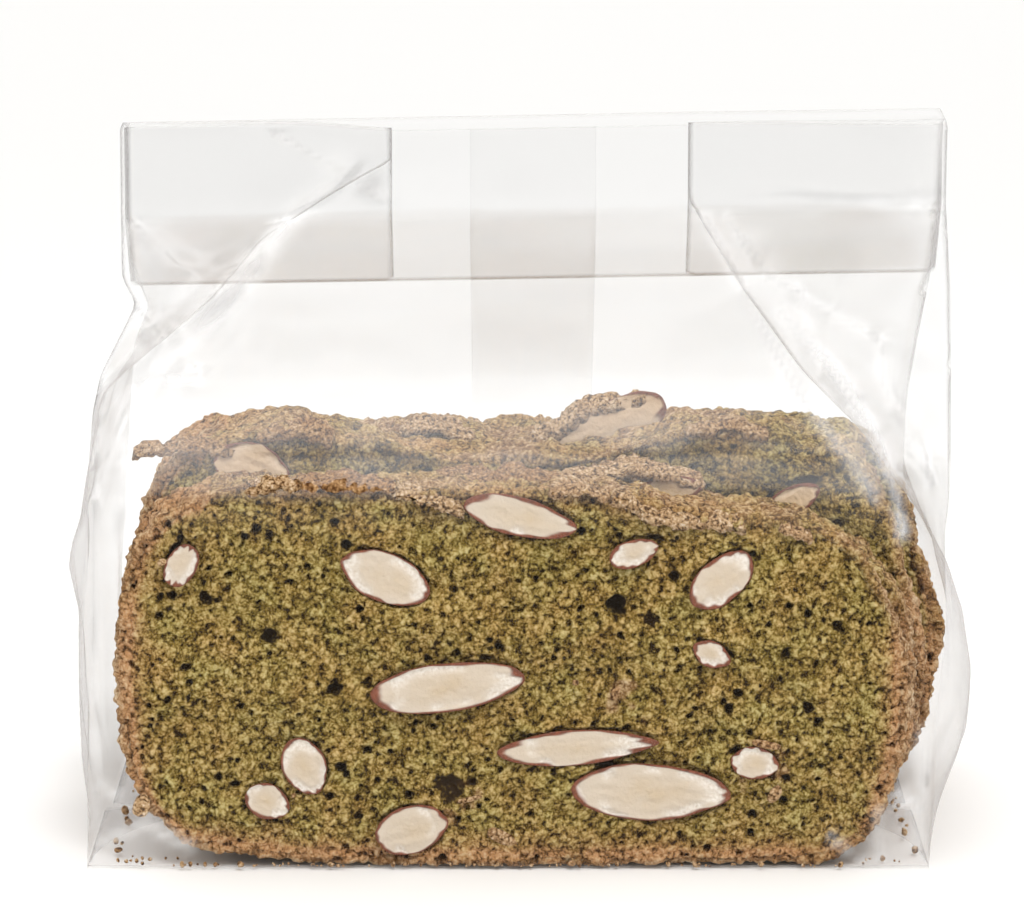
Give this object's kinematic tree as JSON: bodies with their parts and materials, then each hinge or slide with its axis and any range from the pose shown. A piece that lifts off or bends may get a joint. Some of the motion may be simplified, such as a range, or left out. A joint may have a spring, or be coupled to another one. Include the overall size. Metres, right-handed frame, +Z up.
{
  "type": "almond wafers in a clear gusseted bag",
  "caption": "Upright slices of almond loaf biscuit standing one behind another in a clear side-gusseted film bag, heat-sealed across the top with its mouth folded down behind.",
  "frame": {"origin": "middle of the outline, on the surface that the bag stands on", "axes": "+Z up, +X to the right along the slices' length as seen from the front, +Y to the back; the front panel faces -Y"},
  "size_m": [0.1368, 0.0782, 0.1073],
  "materials": {
    "clear_film": "glossy clear film over light brown biscuit"
  },
  "bodies": {
    "root": {"bag": "clear_film"}
  },
  "joints": []
}
